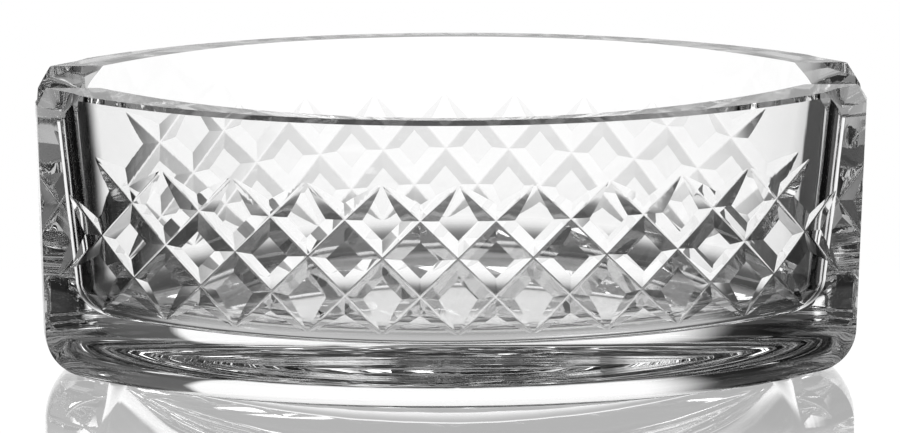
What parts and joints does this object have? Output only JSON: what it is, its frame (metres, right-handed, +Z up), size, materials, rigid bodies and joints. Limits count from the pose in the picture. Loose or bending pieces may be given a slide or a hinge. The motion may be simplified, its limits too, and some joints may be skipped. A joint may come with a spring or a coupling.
{
  "type": "ashtray",
  "caption": "Boat-shaped desk ashtray of thick clear cut crystal, with a V-shaped cigarette rest at each end and crossing mitre cuts on both long walls.",
  "frame": {"origin": "middle of the flat base, on the surface that the ashtray stands on", "axes": "+X along the tray from end to end, +Y across it, +Z up"},
  "size_m": [0.1498, 0.0714, 0.0544],
  "materials": {
    "crystal": "clear colourless crystal, ground and polished all over, with a finely ground rim"
  },
  "bodies": {
    "root": {"glass_body": "crystal"}
  },
  "joints": []
}
